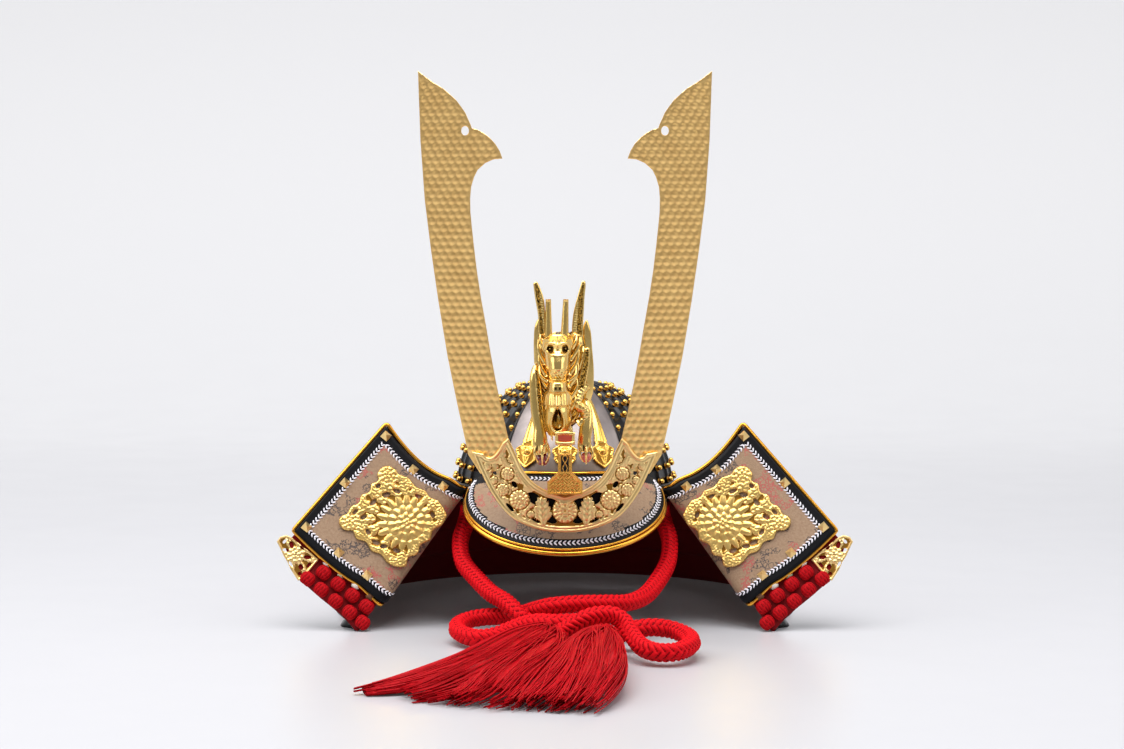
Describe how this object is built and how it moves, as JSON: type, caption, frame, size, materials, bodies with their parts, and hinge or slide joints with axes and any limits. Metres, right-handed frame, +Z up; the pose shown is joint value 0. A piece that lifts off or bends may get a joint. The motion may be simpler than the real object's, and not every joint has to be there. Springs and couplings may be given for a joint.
{
  "type": "samurai helmet",
  "caption": "Samurai helmet with a riveted bowl, peak, flared neck guard and turned-back wings, tall flat gilt horns, a dragon crest and a knotted chin cord.",
  "frame": {"origin": "on the table under the middle of the helmet, leaving out its chin cord and tassels", "axes": "+Z up, -Y towards the front of the helmet, +X to the right as somebody looking at the front sees it"},
  "size_m": [0.296, 0.4179, 0.284],
  "materials": {
    "black_lacquer": "gloss black lacquer",
    "silver_plate": "silver plated, satin",
    "bright_gold": "polished gold plate",
    "deep_gold": "polished deep gold plate",
    "satin_gold": "satin gold plate, stamped",
    "leather": "printed doeskin, taupe",
    "red_silk": "silk braid and thread",
    "garnet": "dark red, polished",
    "coral": "red lacquer"
  },
  "bodies": {
    "root": {"bowl": "black_lacquer", "waist_band": "black_lacquer", "crown_ring": "deep_gold", "front_plate": "silver_plate", "front_strip_left": "bright_gold", "front_strip_centre": "bright_gold", "front_strip_right": "bright_gold", "peak": "leather", "peak_rim": "deep_gold", "lame_1": "black_lacquer", "lame_2": "black_lacquer", "lame_3": "black_lacquer", "lame_4": "black_lacquer", "lacing_back_1": "red_silk", "lacing_back_2": "red_silk", "lacing_back_3": "red_silk", "lacing_back_4": "red_silk", "wing_rim_left": "deep_gold", "wing_leather_left": "leather", "peony_plaque_left": "bright_gold", "flower_plaque_left": "bright_gold", "lacing_wing_left": "red_silk", "wing_stud_left_1": "bright_gold", "wing_stud_left_2": "bright_gold", "wing_stud_left_3": "bright_gold", "wing_stud_left_4": "bright_gold", "wing_stud_left_5": "bright_gold", "wing_stud_left_6": "bright_gold", "wing_stud_left_7": "bright_gold", "wing_rim_right": "deep_gold", "wing_leather_right": "leather", "peony_plaque_right": "bright_gold", "flower_plaque_right": "bright_gold", "lacing_wing_right": "red_silk", "wing_stud_right_1": "bright_gold", "wing_stud_right_2": "bright_gold", "wing_stud_right_3": "bright_gold", "wing_stud_right_4": "bright_gold", "wing_stud_right_5": "bright_gold", "wing_stud_right_6": "bright_gold", "wing_stud_right_7": "bright_gold", "horn_base": "satin_gold", "horn_left": "satin_gold", "horn_right": "satin_gold", "crest_socket": "deep_gold", "dragon": "bright_gold", "dragon_tongue": "coral", "dragon_gem_left": "garnet", "dragon_gem_right": "garnet", "chin_cord_left": "red_silk", "chin_cord_right": "red_silk", "chin_cord_back": "red_silk", "tassel_left": "red_silk", "tassel_right": "red_silk"}
  },
  "joints": []
}
